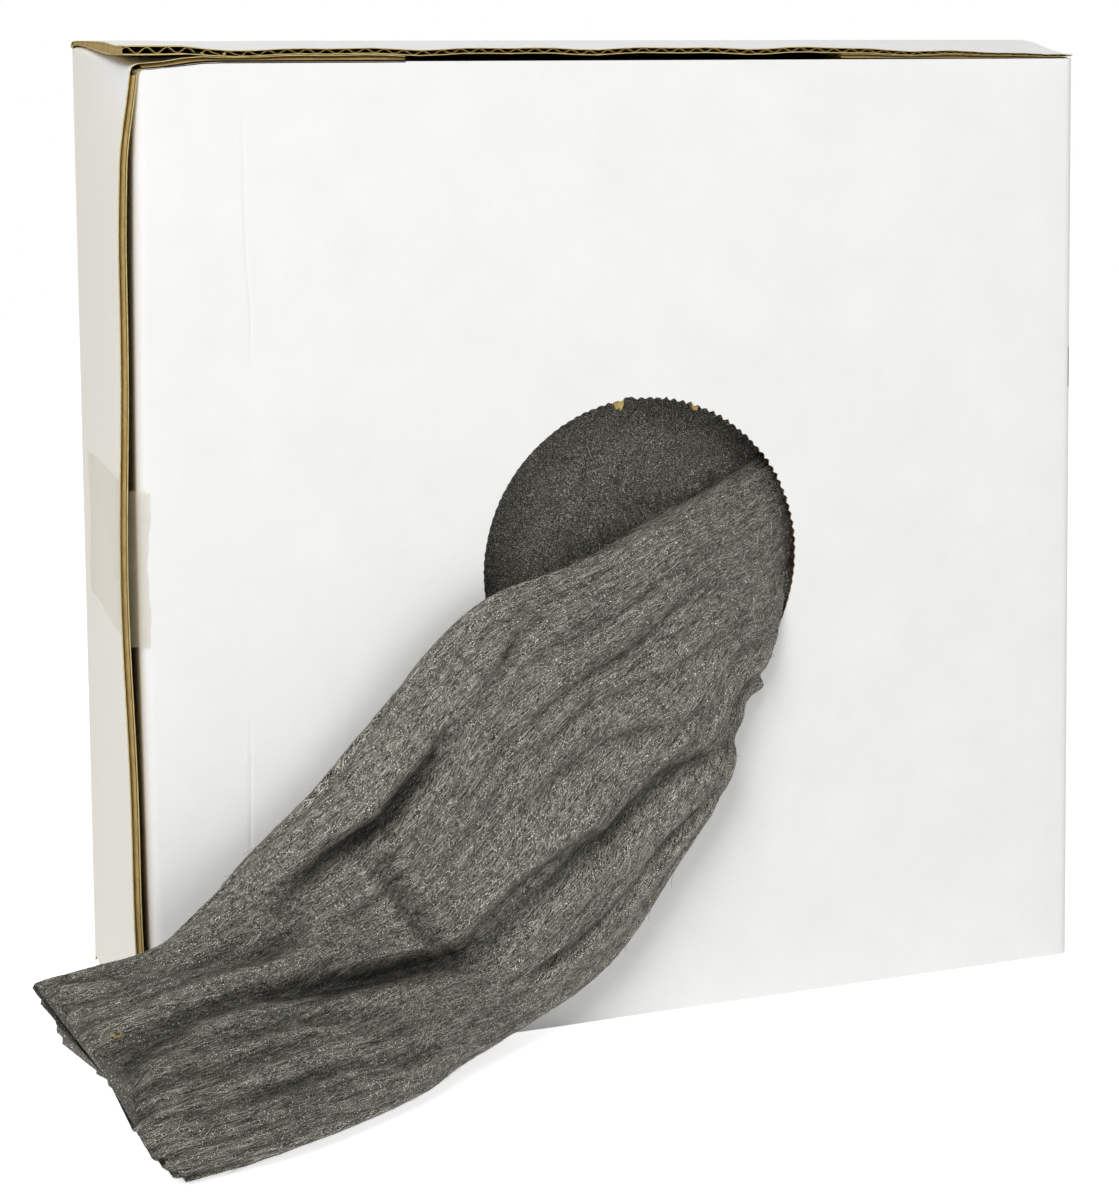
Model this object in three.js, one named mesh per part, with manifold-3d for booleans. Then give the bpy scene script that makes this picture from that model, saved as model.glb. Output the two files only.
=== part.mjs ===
// A roll of steel wool in its dispenser carton, in millimetres, standing on its bottom wall.
// The origin is the centre of the carton's underside, +Z is up, and the lid faces -Y.
import * as THREE from "three";
import { mergeVertices } from "three/addons/utils/BufferGeometryUtils.js";
import Module from "manifold-3d";

// Carton, one die-cut blank of corrugated board
const cartonWidth = 340;
const cartonDepth = 114;
const cartonHeight = 334;
const boardThickness = 3;
const foldRadius = 4;
const layerGap = 0.3;
const cornerRelief = 1;
const foldOverlap = 0.5;
const cornerFlapLength = 92;
const lidSideGap = 1;
const tuckLength = 36;
const tuckInset = 16;

// Round perforated opening in the lid
const openingDiameter = 113;
const openingShift = 1;
const openingDrop = 5;
const toothPitch = 3.2;
const toothDepth = 1.2;

// Roll of wool inside the carton
const rollClearance = 2;
const rollFaceGap = 11;
const rollEdgeRadius = 9;
const woolGap = 0.3;

// Free end of the wool, pulled out through the opening and lying on the table
const throatThickness = 16;
const woolThickness = 24;
const endThickness = 34;

// Clear packing tape over the lid's closing edge
const tapeThickness = 0.3;
const tapeGap = 0.3;
const tapeWidth = 50;
const tapeOnWall = 95;
const tapeOnLid = 6;
const tapeHeight = 170;
const tapeFoldRadius = 1;

// Places that follow from the sizes
const left = -cartonWidth / 2;
const right = cartonWidth / 2;
const front = -cartonDepth / 2;
const back = cartonDepth / 2;
const sideBottom = boardThickness + layerGap;
const sideTop = cartonHeight - sideBottom;
const floorInside = sideBottom + boardThickness;
const ceilingInside = sideTop - boardThickness;
const lidTop = ceilingInside - layerGap;
const lidLeft = left + boardThickness + lidSideGap;
const lidInside = front + boardThickness;
const tuckInside = lidLeft + boardThickness;
const lidRoom = foldRadius + layerGap;
const openingRadius = openingDiameter / 2;
const openingX = (lidLeft + right) / 2 + openingShift;
const openingZ = lidTop / 2 - openingDrop;

const wasm = await Module();
wasm.setup();

// A closed three.js geometry as a solid, without the slivers that a lathe leaves on its axis.
function solid(geometry) {
  const bare = geometry.clone();
  bare.deleteAttribute("normal");
  bare.deleteAttribute("uv");
  const merged = mergeVertices(bare, 1e-4);
  const corners = merged.index.array;
  const triangles = [];
  for (let i = 0; i < corners.length; i += 3) {
    const [a, b, c] = corners.slice(i, i + 3);
    if (a !== b && b !== c && c !== a) triangles.push(a, b, c);
  }
  const vertProperties = new Float32Array(merged.attributes.position.array);
  const triVerts = new Uint32Array(triangles);
  return new wasm.Manifold(new wasm.Mesh({ numProp: 3, vertProperties, triVerts }));
}

function meshOf(name, made, material) {
  const { vertProperties, triVerts } = made.getMesh();
  const geometry = new THREE.BufferGeometry();
  geometry.setAttribute("position", new THREE.BufferAttribute(vertProperties, 3));
  geometry.setIndex(new THREE.BufferAttribute(triVerts, 1));
  geometry.computeVertexNormals();
  const mesh = new THREE.Mesh(geometry, material);
  mesh.name = name;
  return mesh;
}

// A block between two corners.
function block(low, high) {
  const size = high.map((end, axis) => end - low[axis]);
  const middle = high.map((end, axis) => (end + low[axis]) / 2);
  return solid(new THREE.BoxGeometry(...size).translate(...middle));
}

// The section of a folded strip of board. The route is its outer side, whose square corners all
// turn the same way; each fold is an arc, and the board lies on the inner side of the turn.
function foldedSection(route, thickness, radius) {
  const points = route.map(([a, b]) => new THREE.Vector2(a, b));
  const along = points.slice(1).map((point, i) => point.clone().sub(points[i]).normalize());
  const turn = Math.sign(along[0].cross(along[1]));
  const inward = along.map((run) => new THREE.Vector2(-run.y, run.x).multiplyScalar(turn));
  const last = along.length - 1;
  const folds = along.slice(0, last).map((run, i) => ({
    centre: points[i + 1]
      .clone()
      .addScaledVector(run, -radius)
      .addScaledVector(inward[i], radius),
    start: inward[i].clone().negate().angle(),
    end: inward[i + 1].clone().negate().angle(),
  }));
  const clockwise = turn < 0;
  const innerStart = points[0].clone().addScaledVector(inward[0], thickness);
  const shape = new THREE.Shape();
  shape.moveTo(innerStart.x, innerStart.y);
  shape.lineTo(points[0].x, points[0].y);
  for (const { centre, start, end } of folds) {
    shape.absarc(centre.x, centre.y, radius, start, end, clockwise);
  }
  const endPoint = points[last + 1];
  shape.lineTo(endPoint.x, endPoint.y);
  const innerEnd = endPoint.clone().addScaledVector(inward[last], thickness);
  shape.lineTo(innerEnd.x, innerEnd.y);
  for (const { centre, start, end } of folds.reverse()) {
    shape.absarc(centre.x, centre.y, radius - thickness, end, start, !clockwise);
  }
  return shape;
}

const arcSteps = 3;

// A section swept along an axis: X from a YZ section, Y from an XZ section, Z from an XY section.
function sweep(shape, axis, from, to) {
  const options = { depth: to - from, bevelEnabled: false, curveSegments: arcSteps };
  const geometry = new THREE.ExtrudeGeometry(shape, options);
  const x = new THREE.Vector3(1, 0, 0);
  const y = new THREE.Vector3(0, 1, 0);
  const z = new THREE.Vector3(0, 0, 1);
  const turned = new THREE.Matrix4();
  if (axis === "X") turned.makeBasis(y, z, x).setPosition(from, 0, 0);
  if (axis === "Y") turned.makeBasis(x, z, y.negate()).setPosition(0, to, 0);
  if (axis === "Z") turned.setPosition(0, 0, from);
  return solid(geometry.applyMatrix4(turned));
}

// Back panel with the top and bottom walls folded forward from it. The columns at its two side
// edges are left to the rounded folds of the side walls.
function backWithTopAndBottom() {
  const route = [
    [front, cartonHeight],
    [back, cartonHeight],
    [back, 0],
    [front + lidRoom, 0],
  ];
  const section = foldedSection(route, boardThickness, foldRadius);
  let panel = sweep(section, "X", left, right);
  const behind = back - foldRadius;
  for (const [from, to] of [
    [left - 1, left + foldRadius],
    [right - foldRadius, right + 1],
  ]) {
    const column = block([from, behind, foldRadius], [to, back + 1, cartonHeight - foldRadius]);
    panel = panel.subtract(column);
  }
  return panel;
}

// The rounded vertical folds between the back panel and the two side walls.
function backFolds() {
  const start = back - foldRadius - foldOverlap;
  const route = [
    [left, start],
    [left, back],
    [right, back],
    [right, start],
  ];
  const section = foldedSection(route, boardThickness, foldRadius);
  const clear = foldRadius + cornerRelief;
  return sweep(section, "Z", sideBottom + clear, sideTop - clear);
}

// A side wall with the corner flaps folded in from its top and bottom edges.
function sideWall(edge) {
  const inwards = -Math.sign(edge);
  const flapEnd = edge + inwards * cornerFlapLength;
  const route = [
    [flapEnd, sideTop],
    [edge, sideTop],
    [edge, sideBottom],
    [flapEnd, sideBottom],
  ];
  const section = foldedSection(route, boardThickness, foldRadius);
  return sweep(section, "Y", front, back - foldRadius);
}

// The serrated edge that is left where the perforated disc was pushed out.
function openingCutter() {
  const teeth = Math.round((2 * Math.PI * openingRadius) / toothPitch);
  const shape = new THREE.Shape();
  for (let i = 0; i < 2 * teeth; i++) {
    const angle = (Math.PI * i) / teeth;
    const radius = openingRadius + (i % 2) * toothDepth;
    const x = openingX + radius * Math.cos(angle);
    const z = openingZ + radius * Math.sin(angle);
    if (i === 0) shape.moveTo(x, z);
    else shape.lineTo(x, z);
  }
  return sweep(shape, "Y", front - 1, lidInside + 1);
}

// The lid, folded over from the right wall, with the tuck flap folded in along its left edge.
function lid() {
  const route = [
    [right, front + lidRoom + foldOverlap],
    [right, front],
    [lidLeft, front],
    [lidLeft, front + tuckLength],
  ];
  const section = foldedSection(route, boardThickness, foldRadius);
  let panel = sweep(section, "Z", 0, lidTop);
  const tuckStart = front + foldRadius;
  const tuckEnd = front + tuckLength + 1;
  for (const [low, high] of [
    [-1, tuckInset],
    [lidTop - tuckInset, lidTop + 1],
  ]) {
    panel = panel.subtract(block([lidLeft - 1, tuckStart, low], [tuckInside + 1, tuckEnd, high]));
  }
  return panel.subtract(openingCutter());
}

function carton() {
  const top = lidTop + layerGap;
  const lidSpace = block(
    [left + boardThickness, front - 1, -1],
    [right + 1, front + lidRoom, top],
  );
  const fixedWalls = backWithTopAndBottom().add(backFolds());
  const sides = sideWall(left).add(sideWall(right));
  const foldedLid = lid();
  return fixedWalls.add(sides).subtract(lidSpace).add(foldedLid);
}

// The wound roll, a thick disc that stands on the bottom flaps against the back panel.
const rollSides = 72;

function roll() {
  const room = Math.min(ceilingInside - floorInside, right - boardThickness - tuckInside);
  const radius = room / 2 - rollClearance;
  const rear = back - boardThickness - woolGap;
  const face = lidInside + rollFaceGap;
  const outline = new THREE.Path();
  outline.moveTo(0, face);
  outline.lineTo(radius - rollEdgeRadius, face);
  const rim = radius - rollEdgeRadius;
  outline.absarc(rim, face + rollEdgeRadius, rollEdgeRadius, -Math.PI / 2, 0, false);
  outline.absarc(rim, rear - rollEdgeRadius, rollEdgeRadius, 0, Math.PI / 2, false);
  outline.lineTo(0, rear);
  const middle = (tuckInside + right - boardThickness) / 2;
  const lathe = new THREE.LatheGeometry(outline.getPoints(arcSteps), rollSides);
  return solid(lathe.translate(middle, 0, floorInside + woolGap + radius));
}

// The two edges of the free end, from where it leaves the roll to its cut end. Each point is
// [to the right of the opening's centre, out from the lid's face, share of the centre's height].
const upperEdge = [
  [89, -24, 1.3],
  [67.5, -19, 1.26],
  [46, -10, 1.2],
  [24, -1, 1.15],
  [0.5, 6, 1.095],
  [-31, 9, 1.02],
  [-58, 11, 0.95],
  [-83, 12, 0.835],
  [-103, 13, 0.725],
  [-121, 14, 0.62],
  [-143, 15, 0.505],
  [-160, 16, 0.425],
  [-175, 18, 0.363],
  [-193, 18, 0.327],
  [-208, 17, 0.301],
];
const lowerEdge = [
  [86, -24, 0.74],
  [68, -19, 0.76],
  [54, -12, 0.79],
  [45, -1, 0.72],
  [37.5, 8, 0.61],
  [31, 12, 0.52],
  [22, 13, 0.44],
  [8, 13, 0.33],
  [-10, 13, 0.198],
  [-29, 14, 0.1],
  [-47, 17, 0.05],
  [-75, 35, 0.03],
  [-98.5, 49, 0.019],
  [-140.5, 73, 0.019],
  [-162.5, 80, 0.019],
];
const stepsAlong = 52;
const stepsAcross = 12;
const stepsThrough = 4;
const throatShare = 0.35;
const endShare = 0.6;

function edgeCurve(points) {
  const placed = points.map(
    ([x, out, rise]) => new THREE.Vector3(openingX + x, front - out, openingZ * rise),
  );
  return new THREE.CatmullRomCurve3(placed, false, "centripetal");
}

// The wool is pinched in the opening, and fluffed out towards its cut end.
function thicknessAt(along) {
  const opened = THREE.MathUtils.smoothstep(along, 0, throatShare);
  const fluffed = THREE.MathUtils.smoothstep(along, endShare, 1);
  const pinched = THREE.MathUtils.lerp(throatThickness, woolThickness, opened);
  return THREE.MathUtils.lerp(pinched, endThickness, fluffed);
}

// The free end is a strip between the two edges, lens-shaped in section. A box of unit size is
// bent to it: its X runs along the strip, its Y across from edge to edge, its Z through it.
function freeEnd() {
  const upper = edgeCurve(upperEdge);
  const lower = edgeCurve(lowerEdge);
  const strip = new THREE.BoxGeometry(1, 1, 1, stepsAlong, stepsAcross, stepsThrough);
  const position = strip.attributes.position;
  const vertex = new THREE.Vector3();
  for (let i = 0; i < position.count; i++) {
    vertex.fromBufferAttribute(position, i);
    const along = vertex.x + 0.5;
    const top = upper.getPoint(along);
    const bottom = lower.getPoint(along);
    const run = upper.getTangent(along).add(lower.getTangent(along)).normalize();
    const across = top.clone().sub(bottom);
    const outward = run.cross(across).normalize();
    const v = 2 * vertex.y;
    const w = 2 * vertex.z;
    const placeAcross = v * Math.sqrt(1 - (w * w) / 2);
    const placeThrough = w * Math.sqrt(1 - (v * v) / 2);
    const point = top.add(bottom).multiplyScalar(0.5);
    point.addScaledVector(across, placeAcross / 2);
    point.addScaledVector(outward, (placeThrough * thicknessAt(along)) / 2);
    position.setXYZ(i, point.x, point.y, point.z);
  }
  return solid(strip);
}

// Wool pressed against the lid, the rim of the opening and the table takes their shape.
function wool() {
  const reach = cartonWidth + cartonHeight;
  const barrier = block(
    [-reach, front - woolGap, -reach],
    [reach, lidInside + woolGap, reach],
  );
  const throat = new THREE.CylinderGeometry(
    openingRadius - woolGap,
    openingRadius - woolGap,
    cartonDepth,
    rollSides,
  ).translate(openingX, front, openingZ);
  const table = block([-reach, -reach, -reach], [reach, reach, 0]);
  const pulled = freeEnd().subtract(barrier.subtract(solid(throat))).subtract(table);
  return roll().add(pulled);
}

function tape() {
  const skin = tapeGap + tapeThickness;
  const route = [
    [left - skin, front + tapeOnWall],
    [left - skin, front - skin],
    [lidLeft + tapeOnLid, front - skin],
  ];
  const section = foldedSection(route, tapeThickness, tapeFoldRadius);
  return sweep(section, "Z", tapeHeight - tapeWidth / 2, tapeHeight + tapeWidth / 2);
}

const whiteBoard = new THREE.MeshStandardMaterial({
  color: 0xefeeec,
  roughness: 0.75,
  metalness: 0,
});
const greyWool = new THREE.MeshStandardMaterial({
  color: 0x64635c,
  roughness: 0.6,
  metalness: 0.6,
});
const clearFilm = new THREE.MeshStandardMaterial({
  color: 0xd8d4c6,
  roughness: 0.2,
  metalness: 0,
  transparent: true,
  opacity: 0.4,
});

const part = new THREE.Group();
part.add(meshOf("carton", carton(), whiteBoard));
part.add(meshOf("steel_wool_roll", wool(), greyWool));
part.add(meshOf("tape_strip", tape(), clearFilm));

export default part;
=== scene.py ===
import math

import bpy
import numpy as np
from mathutils import Matrix


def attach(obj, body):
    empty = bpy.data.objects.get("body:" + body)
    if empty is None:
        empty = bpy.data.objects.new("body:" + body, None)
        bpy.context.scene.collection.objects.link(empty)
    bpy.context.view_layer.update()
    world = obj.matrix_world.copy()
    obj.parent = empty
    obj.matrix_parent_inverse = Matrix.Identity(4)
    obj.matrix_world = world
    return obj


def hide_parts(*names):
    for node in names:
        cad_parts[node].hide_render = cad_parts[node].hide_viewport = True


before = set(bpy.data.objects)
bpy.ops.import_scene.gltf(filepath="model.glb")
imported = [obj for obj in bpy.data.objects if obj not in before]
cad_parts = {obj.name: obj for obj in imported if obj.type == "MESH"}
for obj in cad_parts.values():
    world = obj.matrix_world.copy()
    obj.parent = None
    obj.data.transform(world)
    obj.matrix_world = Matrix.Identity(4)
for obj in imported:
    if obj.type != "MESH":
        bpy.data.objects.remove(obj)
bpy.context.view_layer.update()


# The carton: one die-cut blank of white-faced corrugated board, scored and folded up. The lid hinges
# on the right wall, tucks in at the left and has a round perforated opening. Sizes in millimetres.
carton_width, carton_depth, carton_height = 340.0, 114.0, 334.0
board = 2.7
liner = 0.35
flute_pitch = 6.4
fold_radius = 4.0
left, right = -carton_width / 2, carton_width / 2
front, back = -carton_depth / 2, carton_depth / 2
side_bottom, side_top = 3.3, 330.7
lid_left, lid_top = -166.0, 328.4
flap_length = 92.0
tuck_length, tuck_inset = 36.0, 16.0
bottom_front = front + 4.3
opening_x, opening_z, opening_radius = 3.0, 158.7, 56.5
tooth_pitch, tooth_depth = 3.0, 1.15
chance = np.random.default_rng(1187)


def linear(hex_colour):
    parts = [int(hex_colour[i : i + 2], 16) / 255 for i in (1, 3, 5)]
    parts = [c / 12.92 if c <= 0.04045 else ((c + 0.055) / 1.055) ** 2.4 for c in parts]
    return (*parts, 1.0)


def add_node(tree, kind, settings=None, links=None):
    node = tree.nodes.new("ShaderNode" + kind)
    for key, value in (settings or {}).items():
        if isinstance(key, int) or key in node.inputs:
            node.inputs[key].default_value = value
        else:
            setattr(node, key, value)
    for key, source in (links or {}).items():
        tree.links.new(source, node.inputs[key])
    return node


def start_material(name):
    material = bpy.data.materials.new(name)
    material.use_nodes = True
    tree = material.node_tree
    return material, tree, tree.nodes["Principled BSDF"]


def blend_in(value, start, end):
    share = np.clip((value - start) / (end - start), 0, 1)
    return share * share * (3 - 2 * share)


# A mesh piece from points in millimetres and faces with the material that each one shows.
def make_piece(name, points, faces, materials, shown=None, sharp=40):
    mesh = bpy.data.meshes.new(name)
    corners = [len(face) for face in faces]
    mesh.vertices.add(len(points))
    mesh.vertices.foreach_set("co", (np.asarray(points) / 1000).astype(np.float32).ravel())
    mesh.loops.add(sum(corners))
    mesh.loops.foreach_set("vertex_index", np.concatenate(faces).astype(np.int32))
    mesh.polygons.add(len(faces))
    starts = np.concatenate([[0], np.cumsum(corners)[:-1]])
    mesh.polygons.foreach_set("loop_start", starts.astype(np.int32))
    for material in materials:
        mesh.materials.append(material)
    if shown is not None:
        mesh.polygons.foreach_set("material_index", np.asarray(shown, np.int32))
    mesh.polygons.foreach_set("use_smooth", np.ones(len(faces), bool))
    mesh.update(calc_edges=True)
    mesh.validate()
    mesh.set_sharp_from_angle(angle=math.radians(sharp))
    piece = bpy.data.objects.new(name, mesh)
    bpy.context.collection.objects.link(piece)
    return piece


# The line that a strip of board follows in section: straight legs with a rounded fold at each corner.
# It gives a point from the way along the outer face and the depth into the board.
def fold_line(corners, radius):
    corners = np.array(corners, float)
    way = np.diff(corners, axis=0)
    size = np.linalg.norm(way, axis=1)
    way = way / size[:, None]
    turn = np.sign(way[0, 0] * way[1, 1] - way[0, 1] * way[1, 0])
    inward = turn * np.stack([-way[:, 1], way[:, 0]], 1)
    last = len(way) - 1
    legs, folds, along = [], [], 0.0
    for i in range(len(way)):
        start = corners[i] + way[i] * (radius if i else 0)
        length = size[i] - (radius if i else 0) - (radius if i < last else 0)
        legs.append((along, along + length, start, way[i], inward[i]))
        along += length
        if i < last:
            centre = start + way[i] * length + inward[i] * radius
            folds.append((along, along + radius * math.pi / 2, centre, way[i], inward[i]))
            along += radius * math.pi / 2

    def at(s, depth):
        s, depth = np.broadcast_arrays(np.asarray(s, float), np.asarray(depth, float))
        point = np.zeros((len(s), 2))
        for begin, end, start, run, into in legs:
            here = (s >= begin - 1e-6) & (s <= end + 1e-6)
            point[here] = start + np.outer(s[here] - begin, run) + np.outer(depth[here], into)
        for begin, end, centre, run, into in folds:
            here = (s > begin + 1e-6) & (s < end - 1e-6)
            angle = (s[here] - begin) / radius
            spoke = np.outer(np.sin(angle), run) - np.outer(np.cos(angle), into)
            point[here] = centre + spoke * (radius - depth[here])[:, None]
        return point

    return at, legs, folds


# How the real carton has settled. The top wall is crowned and its front edge pressed down, most of all
# at the right; its back left corner is raised with the wall below it, and its left end is frayed. The
# left wall's free front edge is bowed out, the lid's left edge follows it, and the whole leans a little.
flap_under, top_under = side_top - board, carton_height - board
bow_low, bow_height, bow_out = 6.0, 318.0, 3.4
crown_rise, top_lift, top_squeeze, flap_lift = 2.9, 4.9, 1.2, 4.7
wall_lift, fold_tuck, front_dip = 7.6, 2.9, 2.2
end_fray, edge_pull, lid_follow = 1.1, 2.6, 1.7


def settle(points):
    x, y, z = np.array(points, float).T
    rest_z = z
    inward = np.clip((y - front) / carton_depth, 0, 1)
    layer_heights = [flap_under, side_top, top_under, carton_height]
    pressed = np.interp(z, layer_heights, [328.6, 330.4, 330.6, 332.5])
    crushed = np.interp(z, layer_heights, [328.5, 329.3, 329.4, 330.3])
    ripple = 0.28 * np.sin(x / 9.1) + 0.22 * np.sin(x / 4.7 + 1.3) - 0.5 * np.exp(-(((x + 141) / 7) ** 2))
    edge_height = pressed + (crushed - pressed) * blend_in(x, 60, 158) + ripple * blend_in(z, 328.5, 331)
    crown = crown_rise * np.sin(math.pi * np.clip(inward, 0, 0.78) / 1.3)
    crown = crown * (0.2 + 0.8 * blend_in(x, left, left + 60))
    loose = np.where(z > 328.45, 1.0, blend_in(z, 290, 331) * blend_in(y, front, front + 20))
    lifted = z + crown * loose
    over_lid = (z > 328.45) | ((z > 327.9) & (y > front + 3))
    z = np.where(over_lid, edge_height + (lifted - edge_height) * blend_in(inward, 0, 0.3), lifted)

    through_top = np.clip((rest_z - top_under) / board, 0, 1)
    risen = blend_in(inward, 0.15, 0.95) * (1 - blend_in(x, left + fold_radius, left + 60))
    fold_up = np.maximum(rest_z - (side_top - fold_radius), 0)
    fold_in = np.maximum(left + fold_radius - x, 1e-6)
    fold_share = np.arctan2(fold_up, fold_in) / (math.pi / 2)
    wall_rise = wall_lift * blend_in(rest_z, 270, 326) - fold_tuck * fold_share
    top_rise = np.where(rest_z > 331, top_lift - top_squeeze * through_top, flap_lift * (rest_z > 326.5))
    z = z + risen * np.where((x < left + fold_radius) & (rest_z < 330.8), wall_rise, top_rise)
    frayed = (1 - blend_in(x, left + 5, left + 45)) * (1 - blend_in(inward, 0.3, 0.8))
    z = z + end_fray * frayed * through_top
    dipped = (1 - blend_in(x, left + 3, left + 28)) * (1 - blend_in(inward, 0, 0.35))
    z = z - front_dip * dipped * blend_in(rest_z, 300, 326) * (rest_z < 331)

    free = 1 - blend_in(inward, 0, 0.8)
    arch = np.sin(math.pi * np.clip((z - bow_low) / bow_height, 0, 1))
    bow = bow_out * arch**0.8
    bow += 0.5 * np.sin(z / 21) * blend_in(z, 20, 80) * (1 - blend_in(z, 250, 310))
    pull = edge_pull * blend_in(z, 296, 328)
    wall = np.where(x < left + 3.6, 1.0, (z > 326.5) * (1 - blend_in(x, left, left + 60)))
    wall = wall * (np.minimum(z, rest_z) < 331.0)
    lid_edge = (x > left + 3.6) * (1 - blend_in(x, left + 4, left + 70)) * (1 - blend_in(inward, 0, 0.45))
    x = x + free * wall * (pull - bow) - lid_follow * lid_edge * arch
    height, across = z / carton_height, (x - left) / carton_width
    lean = (-1.2 + 3.2 * height) * (1 - across) + (0.8 - 2.4 * height) * across
    return np.stack([x + lean, y, z], 1)


# The opening's edge, torn along a row of perforations: short teeth, clearest at the upper right, with
# one notch near the top where a nick pulled out of the lid.
notch_angle, notch_half_angle, notch_depth = math.radians(94.5), math.radians(1.9), 1.1


def rim_radius(angle, tooth):
    strength = 0.2 + 0.7 * blend_in(np.cos(angle - 0.95), 0.25, 1.0)
    notch = np.maximum(0, 1 - np.abs(angle - notch_angle) / notch_half_angle)
    return opening_radius + tooth_depth * tooth * strength + notch_depth * notch


teeth = round(2 * math.pi * opening_radius / tooth_pitch)
tooth_angles = 2 * math.pi * np.arange(4 * teeth) / (4 * teeth)
tooth_heights = np.tile([0.0, 0.5, 1.0, 0.6], teeth) * chance.uniform(0.6, 1.25, 4 * teeth)
lid_edge_left, lid_edge_right = lid_left + fold_radius, right - fold_radius
wall_low, wall_high = side_bottom + fold_radius, side_top - fold_radius
corner_points = [(lid_edge_right, z) for z in (0, wall_low, wall_high, lid_top)]
corner_points += [(lid_edge_left, z) for z in (0, tuck_inset, lid_top - tuck_inset, lid_top)]
corner_angles = [math.atan2(z - opening_z, x - opening_x) % (2 * math.pi) for x, z in corner_points]
ray_angles = np.concatenate([tooth_angles, corner_angles])
ray_teeth = np.concatenate([tooth_heights, np.full(len(corner_angles), 0.4)])
order = np.argsort(ray_angles)
ray_angles, ray_teeth = ray_angles[order], ray_teeth[order]
ray_x, ray_z = np.cos(ray_angles), np.sin(ray_angles)
reach_x = np.where(ray_x > 0, lid_edge_right - opening_x, opening_x - lid_edge_left)
reach_x = reach_x / np.maximum(np.abs(ray_x), 1e-9)
reach_z = np.where(ray_z > 0, lid_top - opening_z, opening_z) / np.maximum(np.abs(ray_z), 1e-9)
ray_reach = np.minimum(reach_x, reach_z)
rim = rim_radius(ray_angles, ray_teeth)
ring_count = 10
rings = [rim, np.maximum(rim + 0.5, opening_radius + 2.0)]
rings += [rings[1] + (ray_reach - rings[1]) * k / ring_count for k in range(1, ring_count + 1)]
lid_u = np.concatenate([opening_x + ring * ray_x for ring in rings])
lid_v = np.concatenate([opening_z + ring * ray_z for ring in rings])
rays = len(ray_angles)


# Faces of a patch of board: rows of points that follow each other, closed round or open.
def row_faces(rows, columns, closed=False):
    across = np.arange(columns if closed else columns - 1)
    step = (across + 1) % columns
    corner_columns = np.stack([across, step, step, across], 1)
    corner_rows = np.array([0, 0, columns, columns])
    return np.concatenate([r * columns + corner_columns + corner_rows for r in range(rows - 1)])


# The same faces, all turned over if they face away from the directions given at the points.
def turned_to(points, faces, out):
    a, b, c = (points[faces[:, k]] for k in (0, 1, 2))
    facing = np.einsum("ij,ij->i", np.cross(b - a, c - a), out[faces[:, 0]]).sum()
    return faces if facing > 0 else faces[:, ::-1]


on_right = np.abs(lid_u[-rays:] - lid_edge_right) < 1e-3
on_left = np.abs(lid_u[-rays:] - lid_edge_left) < 1e-3
right_rows, left_rows = np.sort(lid_v[-rays:][on_right]), np.sort(lid_v[-rays:][on_left])
wall_rows = right_rows[(right_rows > wall_low - 1e-3) & (right_rows < wall_high + 1e-3)]
tuck_rows = left_rows[(left_rows > tuck_inset - 1e-3) & (left_rows < lid_top - tuck_inset + 1e-3)]
band_corners = [(left, front), (left, back), (right, back), (right, front)]
band_corners += [(lid_left, front), (lid_left, front + tuck_length)]
band_at, band_legs, band_folds = fold_line(band_corners, fold_radius)


def band_place(s, z, depth):
    plan = band_at(s, depth)
    return np.stack([plan[:, 0], plan[:, 1], np.broadcast_to(z, len(plan))], 1)


# The perforating rule has crushed the board flat round the opening.
def lid_place(x, z, depth):
    crushed = 0.22 + 0.78 * blend_in(np.hypot(x - opening_x, z - opening_z) - opening_radius, 0.8, 7.0)
    return np.stack([x, np.broadcast_to(front + depth * crushed, x.shape), z], 1)


patches = [(lid_u, lid_v, row_faces(len(rings), rays, True), lid_place)]


def add_patch(rows, columns, place):
    u, v = [grid.ravel() for grid in np.meshgrid(rows, columns, indexing="ij")]
    patches.append((u, v, row_faces(len(rows), len(columns)), place))


wall_steps = np.concatenate([[0, 1.5, bottom_front - front], np.linspace(10, band_legs[0][1], 17)])
back_steps = np.linspace(*band_legs[1][:2], 44)
right_steps = np.linspace(*band_legs[2][:2], 18)
back_rows = np.concatenate([[fold_radius, 5.6], wall_rows, [328.3, carton_height - fold_radius]])
add_patch(wall_steps, wall_rows, band_place)
add_patch(back_steps, back_rows, band_place)
add_patch(right_steps, wall_rows, band_place)
for (begin, end, *_), rows in zip(band_folds, (back_rows, back_rows, right_rows, left_rows)):
    add_patch(np.linspace(begin, end, 7), rows, band_place)
add_patch(np.linspace(*band_legs[4][:2], 6), tuck_rows, band_place)
wall_y = band_at(wall_steps, 0)[:, 1]
right_y = band_at(right_steps, 0)[:, 1]
middle = carton_height / 2
top_flaps = []
for edge, inwards in ((left, 1), (right, -1)):
    for turn_z in (side_top, side_bottom):
        flap_at, flap_legs, flap_folds = fold_line(
            [(edge, middle), (edge, turn_z), (edge + inwards * flap_length, turn_z)], fold_radius
        )

        def flap_place(s, y, depth, flap_at=flap_at):
            section = flap_at(s, depth)
            return np.stack([section[:, 0], np.broadcast_to(y, len(section)), section[:, 1]], 1)

        begin, end = flap_folds[0][:2]
        steps = np.concatenate([np.linspace(begin, end, 7), np.linspace(end, flap_legs[1][1], 14)[1:]])
        columns = wall_y if edge == left else right_y
        if turn_z == side_bottom:
            columns = columns[columns > bottom_front - 1e-3]
        add_patch(steps, columns, flap_place)
        if edge == right and turn_z == side_top:
            add_patch(steps[6:], np.array([right_y[-1], front + 2, front + 0.4]), flap_place)
        if turn_z == side_top:
            top_flaps.append((flap_place, np.linspace(end, flap_legs[1][1], 40)))
wide_x = np.concatenate([[left, left + 2], band_at(back_steps, 0)[:, 0], [right - 2.6, right - 1.4]])
end_places = {}
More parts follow.
